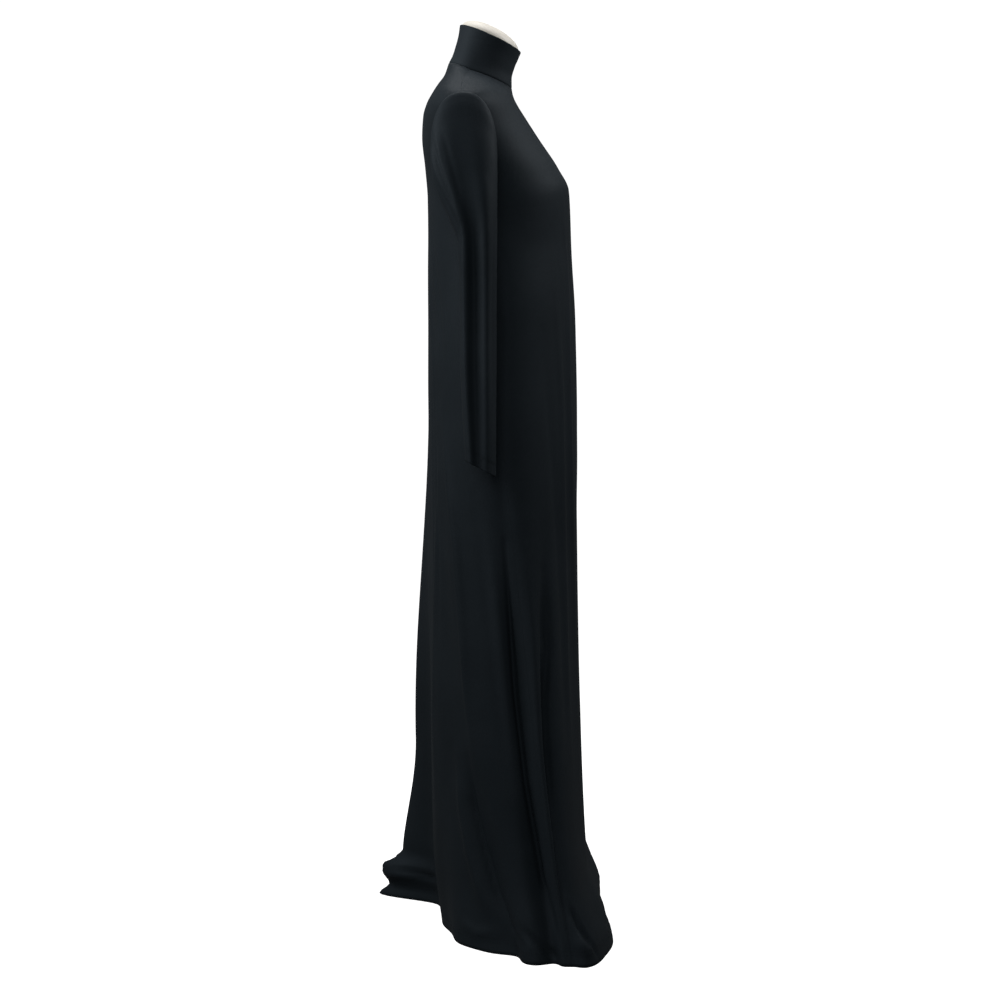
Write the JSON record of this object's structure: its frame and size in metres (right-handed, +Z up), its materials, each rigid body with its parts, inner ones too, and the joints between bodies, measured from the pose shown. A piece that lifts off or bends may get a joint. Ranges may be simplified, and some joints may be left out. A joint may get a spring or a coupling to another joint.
{
  "type": "maxi dress on a dress form",
  "caption": "Long-sleeved black jersey maxi dress with a mock-neck collar, hanging from a limbless dress form on a round stand, its hem pooling on the floor.",
  "frame": {"origin": "centre of the flat underside of the stand's base", "axes": "+Z up along the pole, -Y towards the front of the dress, +X towards the wearer's left"},
  "size_m": [0.8242, 0.3785, 1.49],
  "materials": {
    "black_jersey": "matte",
    "cream_cover": "matte",
    "cream_cap": "satin",
    "brushed_steel": "satin",
    "dark_steel": "matte"
  },
  "bodies": {
    "root": {"dress_front": "black_jersey", "dress_back": "black_jersey", "sleeve_right": "black_jersey", "sleeve_left": "black_jersey", "collar": "black_jersey", "form_torso": "cream_cover", "neck_cap": "cream_cap", "stand_pole": "brushed_steel", "stand_base": "dark_steel"}
  },
  "joints": []
}
